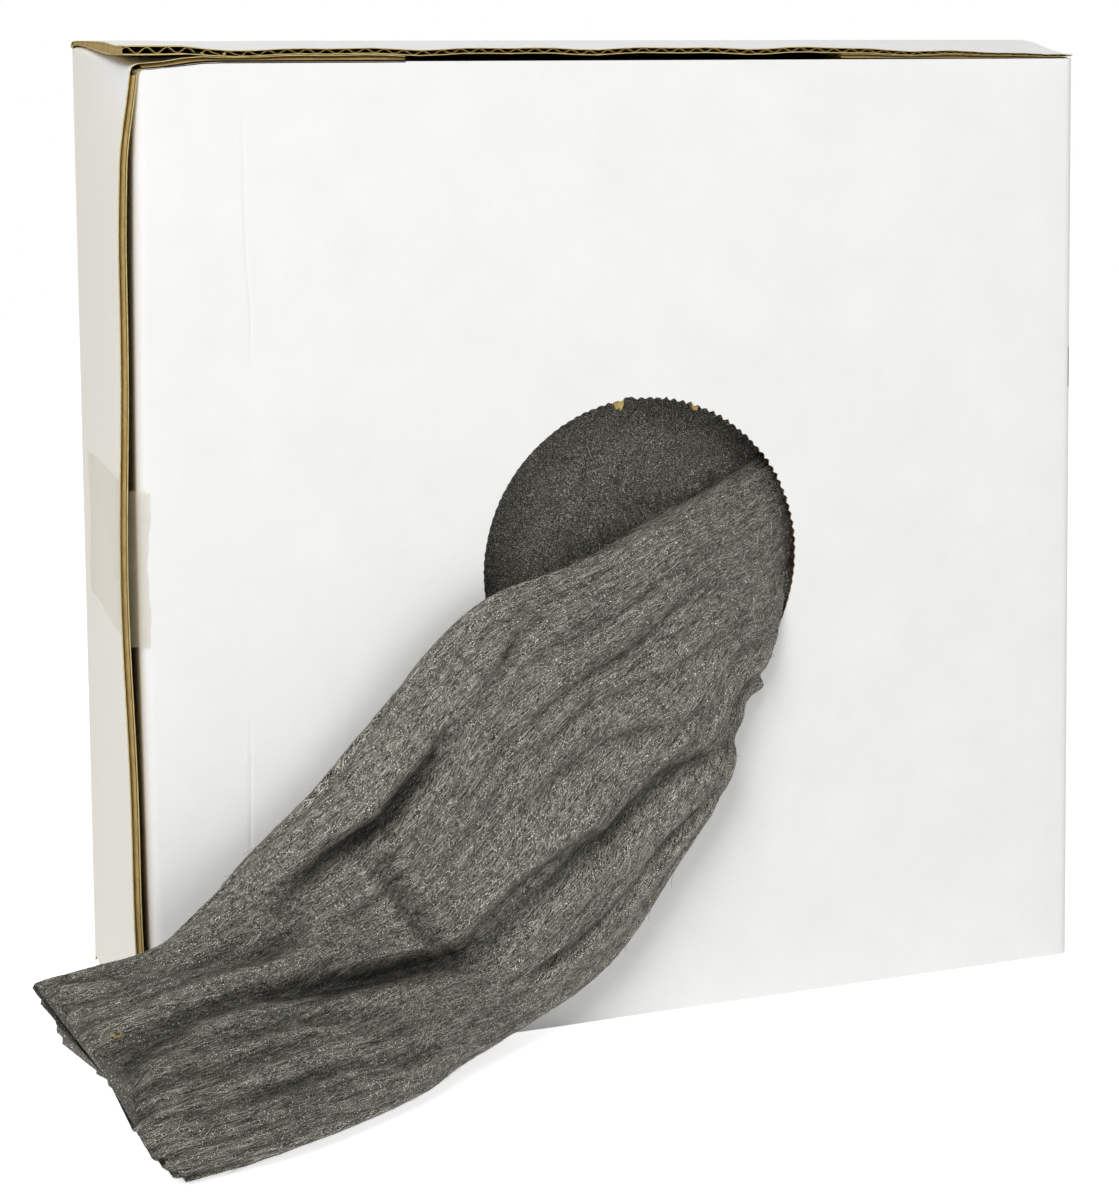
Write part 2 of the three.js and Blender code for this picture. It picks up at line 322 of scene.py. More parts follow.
for turn_z, stop in ((carton_height, front), (0.0, bottom_front)):
    end_at, end_legs, end_folds = fold_line([(back, middle), (back, turn_z), (stop, turn_z)], fold_radius)

    def end_place(s, x, depth, end_at=end_at):
        section = end_at(s, depth)
        return np.stack([np.broadcast_to(x, len(section)), section[:, 0], section[:, 1]], 1)

    begin, end = end_folds[0][:2]
    reach = end_legs[1][1]
    by_front = reach - np.array([9, 6, 4, 2.5, 1.2, 0])
    steps = np.concatenate([np.linspace(begin, end, 7), np.linspace(end, reach - 12, 14)[1:], by_front])
    add_patch(steps, wide_x if turn_z else wide_x[1:], end_place)
    end_places[turn_z] = (end_place, end, reach)


# All the patches at one depth in the board, joined where they share an edge.
def blank_at(depth):
    return np.concatenate([place(u, v, depth) for u, v, _, place in patches])


flat_points = blank_at(0.0)
_, first, merged = np.unique(np.round(flat_points, 2), axis=0, return_index=True, return_inverse=True)
merged = merged.ravel()
inside = blank_at(board) - flat_points
blank_faces, offset = [], 0
for u, v, faces, _ in patches:
    blank_faces.append(merged[turned_to(flat_points, faces + offset, -inside)])
    offset += len(u)
blank_faces = np.concatenate(blank_faces)


# One closed layer of the board between two sets of points, with faces for its two sides and its edge.
def layer(near, far, faces):
    count = len(near)
    edges = np.concatenate([faces[:, [0, 1]], faces[:, [1, 2]], faces[:, [2, 3]], faces[:, [3, 0]]])
    edges = edges[edges[:, 0] != edges[:, 1]]
    code = np.sort(edges, 1) @ np.array([count, 1])
    _, where, seen = np.unique(code, return_index=True, return_counts=True)
    rim_edges = edges[where[seen == 1]]
    side = np.stack([rim_edges[:, 1], rim_edges[:, 0], rim_edges[:, 0] + count, rim_edges[:, 1] + count], 1)
    kinds = np.repeat([0, 1, 2], [len(faces), len(faces), len(side)])
    return np.concatenate([near, far]), np.concatenate([faces, faces[:, ::-1] + count, side]), kinds


# White clay-coated liner: bright, even and dull, with faint mottling, a slight wash of the flutes
# below, a few soft creases from handling, and a warmer tone on the left wall that is painted warm light.
# Its mottling is about 22 mm across, and its paper fibre about 0.6 mm. A short slit is torn in the right
# fold, painted dark brown for its torn paper and the shade in its gap.
slit_x, slit_z = 0.1680, 0.2185
slit_half_width, slit_half_length = 0.0005, 0.0072
white_liner, tree, surface = start_material("white_coated_liner")
place_node = add_node(tree, "TexCoord")
mottle = add_node(
    tree,
    "TexNoise",
    {"Scale": 45.0, "Detail": 4.0, "Roughness": 0.6},
    {"Vector": place_node.outputs["Object"]},
)
tone = add_node(tree, "ValToRGB", {}, {"Fac": mottle.outputs["Fac"]})
tone.color_ramp.elements[0].position, tone.color_ramp.elements[1].position = 0.3, 0.7
tone.color_ramp.elements[0].color, tone.color_ramp.elements[1].color = linear("#f0f0ee"), linear("#f4f4f3")
fibre = add_node(
    tree, "TexNoise", {"Scale": 1600.0, "Detail": 2.0}, {"Vector": place_node.outputs["Object"]}
)
split = add_node(tree, "SeparateXYZ", {}, {"Vector": place_node.outputs["Object"]})
# Painted warm light: the left wall's colour is warmed, standing for the warmer light that falls on it.
warm_light_mask = add_node(tree, "MapRange", {"From Min": -0.166, "From Max": -0.168}, {"Value": split.outputs["X"]})
painted_warm_light = add_node(
    tree,
    "Mix",
    {"data_type": "RGBA", 7: linear("#f1ede2")},
    {0: warm_light_mask.outputs["Result"], 6: tone.outputs["Color"]},
)
slit = add_node(
    tree, "Math", {"operation": "COMPARE", 1: slit_x, 2: slit_half_width}, {0: split.outputs["X"]}
)
slit_run = add_node(
    tree, "Math", {"operation": "COMPARE", 1: slit_z, 2: slit_half_length}, {0: split.outputs["Z"]}
)
slit_front = add_node(tree, "Math", {"operation": "LESS_THAN", 1: -0.053}, {0: split.outputs["Y"]})
slit_here = slit.outputs["Value"]
for mask in (slit_run.outputs["Value"], slit_front.outputs["Value"]):
    both = add_node(tree, "Math", {"operation": "MULTIPLY"}, {0: slit_here, 1: mask})
    slit_here = both.outputs["Value"]
# Painted shade: the slit is coloured dark brown, both for its torn paper and for the shade inside its gap.
torn = add_node(
    tree, "Mix", {"data_type": "RGBA", 7: linear("#6a5a44")}, {0: slit_here, 6: painted_warm_light.outputs[2]}
)
tree.links.new(torn.outputs[2], surface.inputs["Base Color"])
round_walls = add_node(tree, "Math", {"operation": "ADD"}, {0: split.outputs["X"], 1: split.outputs["Y"]})
flute_turn = add_node(
    tree,
    "Math",
    {"operation": "MULTIPLY", 1: 2 * math.pi / (flute_pitch / 1000)},
    {0: round_walls.outputs["Value"]},
)
wash = add_node(tree, "Math", {"operation": "SINE"}, {0: flute_turn.outputs["Value"]})
wander = add_node(
    tree, "TexNoise", {"Scale": 12.0, "Detail": 3.0}, {"Vector": place_node.outputs["Object"]}
)
height = add_node(
    tree,
    "Math",
    {"operation": "MULTIPLY_ADD", 1: 0.05},
    {0: wash.outputs["Value"], 2: fibre.outputs["Fac"]},
)
for crease_x, low_z, high_z in ((-0.1285, 0.225, 0.318), (-0.133, 0.02, 0.125)):
    bent = add_node(
        tree,
        "Math",
        {"operation": "MULTIPLY_ADD", 1: 0.012},
        {0: wander.outputs["Fac"], 2: split.outputs["X"]},
    )
    away = add_node(
        tree, "Math", {"operation": "SUBTRACT", 1: crease_x + 0.006}, {0: bent.outputs["Value"]}
    )
    beside = add_node(tree, "Math", {"operation": "ABSOLUTE"}, {0: away.outputs["Value"]})
    line = add_node(
        tree,
        "MapRange",
        {"From Min": 0.0, "From Max": 0.0011, "To Min": 1.0, "To Max": 0.0},
        {"Value": beside.outputs["Value"]},
    )
    above = add_node(
        tree, "MapRange", {"From Min": low_z, "From Max": low_z + 0.02}, {"Value": split.outputs["Z"]}
    )
    below = add_node(
        tree, "MapRange", {"From Min": high_z, "From Max": high_z - 0.02}, {"Value": split.outputs["Z"]}
    )
    on_lid = add_node(tree, "Math", {"operation": "LESS_THAN", 1: -0.05}, {0: split.outputs["Y"]})
    dent = above.outputs["Result"]
    for mask in (below.outputs["Result"], on_lid.outputs["Value"], line.outputs["Result"]):
        both = add_node(tree, "Math", {"operation": "MULTIPLY"}, {0: dent, 1: mask})
        dent = both.outputs["Value"]
    height = add_node(
        tree, "Math", {"operation": "MULTIPLY_ADD", 1: -2.2}, {0: dent, 2: height.outputs["Value"]}
    )
bump = add_node(tree, "Bump", {"Strength": 0.35, "Distance": 0.0002}, {"Height": height.outputs["Value"]})
tree.links.new(bump.outputs["Normal"], surface.inputs["Normal"])
surface.inputs["Roughness"].default_value = 0.52
surface.inputs["Specular IOR Level"].default_value = 0.35

# Kraft liner and fluting: brown unbleached paper, dull, with long pale and dark fibres, drawn about
# 1 mm wide and 4.5 mm long so that they show.
kraft, tree, surface = start_material("kraft_paper")
place_node = add_node(tree, "TexCoord")
stretch = add_node(
    tree, "Mapping", {"Scale": (900.0, 900.0, 220.0)}, {"Vector": place_node.outputs["Object"]}
)
fibre = add_node(
    tree,
    "TexNoise",
    {"Scale": 1.0, "Detail": 4.0, "Roughness": 0.65},
    {"Vector": stretch.outputs["Vector"]},
)
tone = add_node(tree, "ValToRGB", {}, {"Fac": fibre.outputs["Fac"]})
tone.color_ramp.elements[0].position, tone.color_ramp.elements[1].position = 0.25, 0.75
tone.color_ramp.elements[0].color, tone.color_ramp.elements[1].color = linear("#947a48"), linear("#c8ae74")
tree.links.new(tone.outputs["Color"], surface.inputs["Base Color"])
bump = add_node(tree, "Bump", {"Strength": 0.4, "Distance": 0.0002}, {"Height": fibre.outputs["Fac"]})
tree.links.new(bump.outputs["Normal"], surface.inputs["Normal"])
surface.inputs["Roughness"].default_value = 0.85
surface.inputs["Specular IOR Level"].default_value = 0.2

# Cut edge of the board: the die's bruised, slightly yellow paper section, blotched every 2 to 3 mm.
cut_edge, tree, surface = start_material("cut_board_edge")
place_node = add_node(tree, "TexCoord")
grain = add_node(
    tree,
    "TexNoise",
    {"Scale": 420.0, "Detail": 5.0, "Roughness": 0.7},
    {"Vector": place_node.outputs["Object"]},
)
tone = add_node(tree, "ValToRGB", {}, {"Fac": grain.outputs["Fac"]})
tone.color_ramp.elements[0].position, tone.color_ramp.elements[1].position = 0.3, 0.7
tone.color_ramp.elements[0].color, tone.color_ramp.elements[1].color = linear("#b09c5a"), linear("#dccc94")
tree.links.new(tone.outputs["Color"], surface.inputs["Base Color"])
surface.inputs["Roughness"].default_value = 0.9
surface.inputs["Specular IOR Level"].default_value = 0.2

points, faces, kinds = [], [], []
count = 0
for near, far, shown in ((0.0, liner, (0, 1, 2)), (board - liner, board, (1, 1, 2))):
    sheet_points, sheet_faces, sheet_kinds = layer(blank_at(near)[first], blank_at(far)[first], blank_faces)
    points.append(settle(sheet_points))
    faces.append(sheet_faces + count)
    kinds.append(np.array(shown)[sheet_kinds])
    count += len(sheet_points)
carton = make_piece(
    "carton_board",
    np.concatenate(points),
    list(np.concatenate(faces)),
    [white_liner, kraft, cut_edge],
    np.concatenate(kinds),
)
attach(carton, "root")
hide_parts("carton")

# The fluting between the carton's liners: kraft paper pressed into waves and glued to both. It shows
# at the raw edges of the top wall, the flaps, the left wall and the opening.
flute_paper = 0.22
flute_swing = board / 2 - liner - flute_paper / 2
flute_points, flute_faces = [], []


def add_paper(near, far, faces):
    sheet_points, sheet_faces, _ = layer(near, far, turned_to(near, faces, near - far))
    flute_points.append(settle(sheet_points))
    flute_faces.append(sheet_faces)


def add_fluting(u, v, faces, place, across):
    depth = board / 2 + flute_swing * np.sin(2 * math.pi * across / flute_pitch)
    add_paper(place(u, v, depth - flute_paper / 2), place(u, v, depth + flute_paper / 2), faces)


def grid(rows, columns):
    u, v = [side.ravel() for side in np.meshgrid(rows, columns, indexing="ij")]
    return u, v, row_faces(len(rows), len(columns))


end_place, begin, reach = end_places[carton_height]
flute_rows = np.concatenate(
    [np.linspace(begin + 2, reach - 14, 5), reach - np.array([10, 6, 3, 1.4, 0.25])]
)
u, v, quads = grid(flute_rows, np.arange(left + 0.2, right - 0.1, 0.8))
add_fluting(u, v, quads, end_place, v)
# The top wall's last flute, crushed shut at the raw left end.
u, v, quads = grid(np.linspace(begin + 2, reach - 0.2, 40), np.linspace(liner, board - liner, 4))
shut = 0.12 * np.sin(u / 1.9) + 0.08 * np.sin(u / 0.83)
add_paper(end_place(u, left + 0.25 + shut, v), end_place(u, left + 0.6 + shut, v), quads)
end_place, begin, reach = end_places[0.0]
u, v, quads = grid(np.linspace(begin + 2, reach - 0.25, 5), np.arange(left + 0.2, right - 0.1, 1.6))
add_fluting(u, v, quads, end_place, v)
u, v, quads = grid(np.arange(0.25, 20, 0.8), wall_rows)
add_fluting(u, v, quads, band_place, u + 2.1)
for place, steps in top_flaps:
    u, v, quads = grid(steps, np.arange(front + 0.6, front + 18, 0.8))
    add_fluting(u, v, quads, place, v + 1.2)
u = np.concatenate([opening_x + (rim + out) * ray_x for out in (0.7, 2.4, 6.0)])
v = np.concatenate([opening_z + (rim + out) * ray_z for out in (0.7, 2.4, 6.0)])
add_fluting(u, v, row_faces(3, rays, True), lid_place, u)


# A scrap of torn board: a ragged tab in the plane of the lid, as a fan of corners round its middle.
def add_scrap(corners, near, far):
    corners = np.array(corners, float)
    count = len(corners)
    around = np.arange(count)
    step = (around + 1) % count
    fan = np.append(corners, [corners.mean(0)], 0)
    sides = [np.stack([fan[:, 0], np.full(count + 1, depth), fan[:, 1]], 1) for depth in (near, far)]
    top = np.stack([around, step, np.full(count, count), np.full(count, count)], 1)
    under = np.stack([step, around, np.full(count, count), np.full(count, count)], 1) + count + 1
    side = np.stack([step, around, around + count + 1, step + count + 1], 1)
    flute_points.append(np.concatenate(sides))
    flute_faces.append(np.concatenate([top, under, side]))


for angle, size in ((98.0, 4.4), (69.7, 2.6)):
    spoke = math.radians(angle)
    torn_at = opening_radius + 0.6
    middle_x, middle_z = opening_x + torn_at * math.cos(spoke), opening_z + torn_at * math.sin(spoke)
    ragged = [
        (-0.5, 0.35), (-0.42, -0.3), (-0.2, -0.72), (0.02, -0.6), (0.16, -0.85), (0.36, -0.45), (0.5, 0.35)
    ]
    add_scrap([(middle_x + size * a, middle_z + size * b) for a, b in ragged], front + 0.5, front + 2.2)
flute_starts = np.cumsum([0] + [len(sheet) for sheet in flute_points[:-1]])
flute_quads = np.concatenate([sheet + start for sheet, start in zip(flute_faces, flute_starts)])
flutes = make_piece(
    "carton_fluting",
    np.concatenate(flute_points),
    [q[:3] if q[2] == q[3] else q for q in flute_quads],
    [kraft],
    sharp=60,
)
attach(flutes, "root")
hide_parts("carton")


# The tape: a strip of clear packing film, stuck down over the closing edge from the left wall to the
# lid. Its torn ends are ragged, and it stands off where it bridges the gap beside the lid.
tape_low, tape_high = 145.0, 195.0
tape_film = 0.06
tape_start, tape_end = 38.0, -162.6
wall_run = np.linspace(tape_start, front + 0.5, 26)
bridge_run = np.linspace(left + 0.6, tape_end, 9)
tape_rows = np.linspace(0, 1, 24)
bridge_share = np.linspace(0, 1, len(bridge_run))
tape_near = []
for row in tape_rows:
    z = tape_low + (tape_high - tape_low) * row
    ragged = 1.1 * math.sin(9 * row) + 0.5 * math.sin(31 * row + 1)
    slant = 3.2 * (1 - row)
    y = wall_run.copy()
    y[:4] += np.array([1, 0.7, 0.4, 0.1]) * (ragged - 2.0 * row)
    on_wall = settle(np.stack([np.full(len(y), left - 0.12), y, np.full(len(y), z)], 1))
    over_x = bridge_run + bridge_share * (ragged * 0.4 - slant * 0.2)
    over = np.stack([over_x, np.full(len(over_x), front - 0.16), np.full(len(over_x), z)], 1)
    over[:, 1] -= 0.7 * blend_in(row, 0.86, 1.0) * blend_in(bridge_share, 0.4, 1)
    over = settle(over)
    over[:2, 0] = on_wall[-1, 0] + np.array([0.35, 1.3])
    over[2, 0] = max(over[2, 0], on_wall[-1, 0] + 2.6)
    path = np.concatenate([on_wall, over])
    path[:, 2] += np.interp(np.arange(len(path)), [0, 25, 28, 34], [0, 4, 0, -1])
    tape_near.append(path)
tape_near = np.array(tape_near)
run = np.gradient(tape_near, axis=1)
rise = np.gradient(tape_near, axis=0)
film_out = np.cross(rise, run)
film_out /= np.linalg.norm(film_out, axis=2)[:, :, None]
if film_out[12, 10, 0] > 0:
    film_out = -film_out
tape_far = tape_near - film_out * tape_film
film_side = tape_near.reshape(-1, 3)
quads = turned_to(film_side, row_faces(len(tape_rows), tape_near.shape[1]), film_out.reshape(-1, 3))
tape_points, tape_faces, _ = layer(film_side, tape_far.reshape(-1, 3), quads)

# Clear polypropylene film: glossy, faintly beige where its glue wets the board, and hardly to be seen
# where it bridges the gap. Its drawn streaks are about 1 mm wide and run round the carton.
film, tree, surface = start_material("clear_tape_film")
place_node = add_node(tree, "TexCoord")
stretch = add_node(
    tree, "Mapping", {"Scale": (60.0, 60.0, 900.0)}, {"Vector": place_node.outputs["Object"]}
)
streak = add_node(tree, "TexNoise", {"Scale": 1.0, "Detail": 3.0}, {"Vector": stretch.outputs["Vector"]})
bump = add_node(tree, "Bump", {"Strength": 0.15, "Distance": 0.0002}, {"Height": streak.outputs["Fac"]})
tree.links.new(bump.outputs["Normal"], surface.inputs["Normal"])
tone = add_node(tree, "ValToRGB", {}, {"Fac": streak.outputs["Fac"]})
tone.color_ramp.elements[0].color, tone.color_ramp.elements[1].color = linear("#c2b48e"), linear("#d2c7a8")
tree.links.new(tone.outputs["Color"], surface.inputs["Base Color"])
surface.inputs["Roughness"].default_value = 0.14
stuck = add_node(tree, "Attribute", {"attribute_name": "stuck"})
clear = add_node(tree, "MapRange", {"To Min": 0.02, "To Max": 0.14}, {"Value": stuck.outputs["Fac"]})
tree.links.new(clear.outputs["Result"], surface.inputs["Alpha"])


# Values at a piece's points that its material reads: single numbers, or one vector to a point.
def add_values(piece, name, values):
    values = np.asarray(values, np.float32)
    kind, field = ("FLOAT", "value") if values.ndim == 1 else ("FLOAT_VECTOR", "vector")
    piece.data.attributes.new(name, kind, "POINT").data.foreach_set(field, values.ravel())


tape = make_piece("packing_tape", tape_points, list(tape_faces), [film], sharp=60)
stuck_at = np.interp(np.arange(tape_near.shape[1]), [24, 26, 28, 30], [1, 0, 0, 0.8])
add_values(tape, "stuck", np.tile(stuck_at, 2 * len(tape_rows)))
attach(tape, "root")
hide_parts("tape_strip")


# The free end of the steel wool: a soft ribbon of long steel shavings, drawn from the roll past the
# opening's right edge, lying down over the lid to its cut end on the table, with folds and grooves.
# Points along its two edges: millimetres to the right of the opening's middle, millimetres in front of
# the lid, and height as a share of the height of the opening's middle.
upper_edge = [
    (89, -24, 1.3), (67.5, -19, 1.26), (46, -10, 1.2), (24, -1, 1.15), (0.2, 6, 1.099),
    (-30.4, 9, 1.015), (-58.5, 11, 0.953), (-83.6, 12, 0.838), (-101.3, 13, 0.716), (-118.4, 14, 0.606),
    (-140.7, 15, 0.494), (-155.7, 17, 0.405), (-170.2, 20, 0.342), (-190, 21, 0.309), (-206.3, 19.3, 0.291),
]
lower_edge = [
    (86, -24, 0.74), (68, -19, 0.76), (54, -12, 0.79), (45, -1, 0.72), (31.9, 7.7, 0.684),
    (26.9, 11.8, 0.553), (18, 12.9, 0.466), (4.9, 13, 0.347), (-10.8, 13, 0.202), (-28.8, 14, 0.099),
    (-46, 17, 0.05), (-76.1, 34.8, 0.03), (-96.3, 49.9, 0.019),
    (-141.8, 71.7, 0.019), (-164.5, 77.2, 0.019),
]
# Grooves in the ribbon's front: depth, half width in millimetres, and points (share of its length, place
# from -1 at the lower edge to 1 at the upper edge).
grooves = [
    (6.0, 4.2, [
        (0.33, -0.88), (0.44, -0.55), (0.51, -0.48), (0.545, -0.36), (0.607, -0.27), (0.66, -0.29),
    ]),
    (8.0, 4.4, [
        (0.607, -0.27), (0.66, -0.29), (0.70, -0.24), (0.757, -0.12), (0.79, -0.01), (0.84, 0.12),
        (0.88, 0.21), (0.92, 0.22), (1.0, 0.02),
    ]),
    (8.0, 3.4, [
        (0.535, 0.66), (0.556, 0.64), (0.592, 0.65), (0.628, 0.64), (0.657, 0.69), (0.68, 0.72),
        (0.717, 0.7), (0.76, 0.66),
    ]),
    (2.4, 2.4, [(0.40, 0.82), (0.428, 0.78), (0.455, 0.7), (0.486, 0.64), (0.53, 0.62)]),
    (3.2, 2.8, [(0.648, 0.68), (0.656, 0.5), (0.668, 0.31), (0.684, 0.07), (0.695, -0.2)]),
    (2.8, 2.4, [
        (0.52, -0.33), (0.547, -0.27), (0.569, -0.22), (0.6, -0.17), (0.652, -0.18), (0.69, -0.22),
    ]),
    (2.4, 2.0, [(0.40, -0.94), (0.43, -0.91), (0.472, -0.84), (0.52, -0.77)]),
    (2.8, 2.2, [(0.53, -0.78), (0.556, -0.74), (0.609, -0.69), (0.637, -0.63), (0.68, -0.55)]),
    (2.2, 2.4, [(0.17, -0.9), (0.248, -0.86), (0.309, -0.77), (0.36, -0.66)]),
    (2.0, 3.4, [(0.36, -0.38), (0.394, -0.3), (0.461, -0.07), (0.518, 0.01), (0.56, 0.12)]),
    (1.8, 3.0, [(0.86, 0.8), (0.924, 0.84), (0.985, 0.9)]),
    (2.4, 4.0, [(0.76, 0.42), (0.787, 0.46), (0.854, 0.6), (0.93, 0.74)]),
    (2.2, 3.0, [(0.80, -0.36), (0.832, -0.29), (0.877, -0.12), (0.94, -0.06)]),
    (2.0, 3.2, [(0.80, -0.74), (0.841, -0.7), (0.888, -0.58), (0.96, -0.57)]),
    (1.6, 2.0, [(0.24, 0.2), (0.36, 0.28), (0.5, 0.36), (0.58, 0.34)]),
    (1.4, 2.0, [(0.2, -0.3), (0.3, -0.2), (0.42, 0.1), (0.5, 0.2)]),
]
wool_steps, wool_around = 320, 280
half_thick_start, half_thick_middle, half_thick_end = 8, 12, 15
ribbon_girth = 250.0
rim_share = 0.24


def placed(edge):
    return np.array([(opening_x + x, front - out, opening_z * share) for x, out, share in edge])


# A smooth line through a run of points, at shares from 0 to 1 of the way.
def follow(points, share):
    ends = np.concatenate([[2 * points[0] - points[1]], points, [2 * points[-1] - points[-2]]])
    legs = len(points) - 1
    way = np.clip(share, 0, 1) * legs
    leg = np.minimum(way.astype(int), legs - 1)
    f = (way - leg)[:, None]
    a, b, c, d = (ends[leg + k] for k in range(4))
    return 0.5 * (2 * b + (c - a) * f + (2 * a - 5 * b + 4 * c - d) * f**2 + (3 * b - a - 3 * c + d) * f**3)


# Smooth random hills and dips, one to a unit of u and v.
def uneven(u, v, seed):
    table = np.random.default_rng(seed).uniform(-1, 1, (64, 64))
    i, j = np.floor(u).astype(int), np.floor(v).astype(int)
    f, g = u - i, v - j
    f, g = f * f * (3 - 2 * f), g * g * (3 - 2 * g)
    low = table[i % 64, j % 64] * (1 - f) + table[(i + 1) % 64, j % 64] * f
    high = table[i % 64, (j + 1) % 64] * (1 - f) + table[(i + 1) % 64, (j + 1) % 64] * f
    return low * (1 - g) + high * g


# The ribbon's section: a flat oval with full sides, at turns round it.
def section(turn):
    across, through = np.cos(turn), np.sin(turn)
    return np.sign(across) * np.abs(across) ** 0.8, np.sign(through) * np.abs(through) ** 0.8


upper_points, lower_points = placed(upper_edge), placed(lower_edge)
shares = np.linspace(0.0, 1.0, wool_steps)
upper_line, lower_line = follow(upper_points, shares), follow(lower_points, shares)
centre_line = (upper_line + lower_line) / 2
half_across = (upper_line - lower_line) / 2
heading = np.gradient(centre_line, axis=0)
outward = np.cross(half_across, heading)
outward /= np.linalg.norm(outward, axis=1)[:, None]
half_width = np.linalg.norm(half_across, axis=1)
run_length = np.concatenate([[0], np.cumsum(np.linalg.norm(np.diff(centre_line, axis=0), axis=1))])
half_thick = half_thick_start + (half_thick_middle - half_thick_start) * blend_in(shares, 0, 0.35)
half_thick = half_thick + (half_thick_end - half_thick) * blend_in(shares, 0.6, 0.9)
half_thick = half_thick * np.sqrt(1.03 - np.clip((shares - 0.84) / 0.16, 0, 1) ** 2)
fine_turn = np.linspace(0, 2 * math.pi, 4001)
fine_a, fine_b = section(fine_turn)
fine_way = np.concatenate([[0], np.cumsum(np.hypot(np.diff(fine_a) * 50, np.diff(fine_b) * 12))])
turns = np.interp(np.arange(wool_around) / wool_around * fine_way[-1], fine_way, fine_turn)
place_across, place_through = section(turns)
girth = 4 * half_width + 2.4 * half_thick
wool = (
    centre_line[:, None]
    + half_across[:, None] * place_across[None, :, None]
    + outward[:, None] * (half_thick[:, None] * place_through[None])[:, :, None]
)


def surface_normals(sheet):
    along = np.gradient(sheet, axis=0)
    round_it = np.roll(sheet, -1, 1) - np.roll(sheet, 1, 1)
    normal = np.cross(round_it, along)
    return normal / np.maximum(np.linalg.norm(normal, axis=2), 1e-9)[:, :, None]


wool_normal = surface_normals(wool)
if np.einsum("ijk,ik->ij", wool_normal, outward)[:, wool_around // 4].mean() < 0:
    wool_normal = -wool_normal
along_mm = run_length[:, None] + 0 * place_across[None]
across_mm = np.arange(wool_around)[None] / wool_around * ribbon_girth + 0 * run_length[:, None]
relief = 2.0 * uneven(along_mm / 46, across_mm / 24, 3)
relief += 1.3 * uneven(along_mm / 70, across_mm / 9, 5)
drawn = 0.8 * uneven(along_mm / 38, across_mm / 4.2, 8) + 0.6 * uneven(along_mm / 30, across_mm / 2.3, 9)
drawn = drawn * (1 + 0.7 * blend_in(shares, 0.5, 0.85)[:, None])
relief = (relief + drawn) * (blend_in(shares, 0.12, 0.4)[:, None] * 0.75 + 0.25)
spot = np.stack([run_length[:, None] + 0 * place_across, half_width[:, None] * place_across[None]], 2)
facing_out = blend_in(place_through, 0.0, 0.3)[None]
sunk = 2.4 * np.maximum(-drawn - 0.25, 0)
for depth, width, line in grooves:
    line = np.array(line)
    row = np.clip(line[:, 0], 0, 1)
    flat_line = np.stack(
        [np.interp(row, shares, run_length), np.interp(row, shares, half_width) * line[:, 1]], 1
    )
    nearest = np.full(spot.shape[:2], 1e9)
    progress = np.zeros(spot.shape[:2])
    for k in range(len(flat_line) - 1):
        a, leg = flat_line[k], flat_line[k + 1] - flat_line[k]
        f = np.clip(((spot - a) @ leg) / (leg @ leg), 0, 1)
        away = np.linalg.norm(spot - a - f[:, :, None] * leg, axis=2)
        progress = np.where(away < nearest, (k + f) / (len(flat_line) - 1), progress)
        nearest = np.minimum(nearest, away)
    fade = np.sin(math.pi * np.clip(progress, 0.04, 0.96)) ** 0.5
    if line[-1, 0] >= 1:
        fade = blend_in(progress, -0.05, 0.3) * (1 - 0.4 * blend_in(progress, 0.4, 0.9))
    shoulder = np.exp(-(((nearest - 2.1 * width) / (1.1 * width)) ** 2))
    shape = np.exp(-((nearest / width) ** 2)) - 0.3 * shoulder
    relief -= depth * fade * shape * facing_out
    sunk += depth * fade * np.exp(-((nearest / (0.7 * width)) ** 2)) * facing_out
wool = wool + wool_normal * relief[:, :, None]
ragged_end = 5.5 * uneven(across_mm[0] / 7.0, 0 * across_mm[0], 21)
ragged_end += 2.2 * uneven(across_mm[0] / 2.4, 0 * across_mm[0], 22)
reach_places = [-1, -0.78, -0.6, -0.4, -0.15, 0.02, 0.3, 0.6, 1]
end_reach = np.interp(place_across, reach_places, [11, 14, 11, 7, 2.5, 3, 6.5, 5.5, 3])
end_run = heading[-1] / np.linalg.norm(heading[-1])
end_zone = blend_in(shares, 0.93, 1.0)[:, None]
wool += end_run * (end_zone * (ragged_end[None] * 0.35 + end_reach[None]))[:, :, None]
wool[:, :, 2] = np.maximum(wool[:, :, 2], 0.25)
before_lid = (shares > rim_share)[:, None] & (np.abs(wool[:, :, 0]) < 165)
past_rim = np.hypot(wool[:, :, 0] - opening_x, wool[:, :, 2] - opening_z) > opening_radius - 2
wool[:, :, 1] = np.where(before_lid & past_rim, np.minimum(wool[:, :, 1], front - 0.6), wool[:, :, 1])
behind_lid = (shares <= rim_share)[:, None] & past_rim & (wool[:, :, 0] > opening_x)
wool[:, :, 1] = np.where(behind_lid, np.maximum(wool[:, :, 1], front + board + 0.6), wool[:, :, 1])
wool_normal = surface_normals(wool)
if np.einsum("ijk,ik->ij", wool_normal, outward)[:, wool_around // 4].mean() < 0:
    wool_normal = -wool_normal

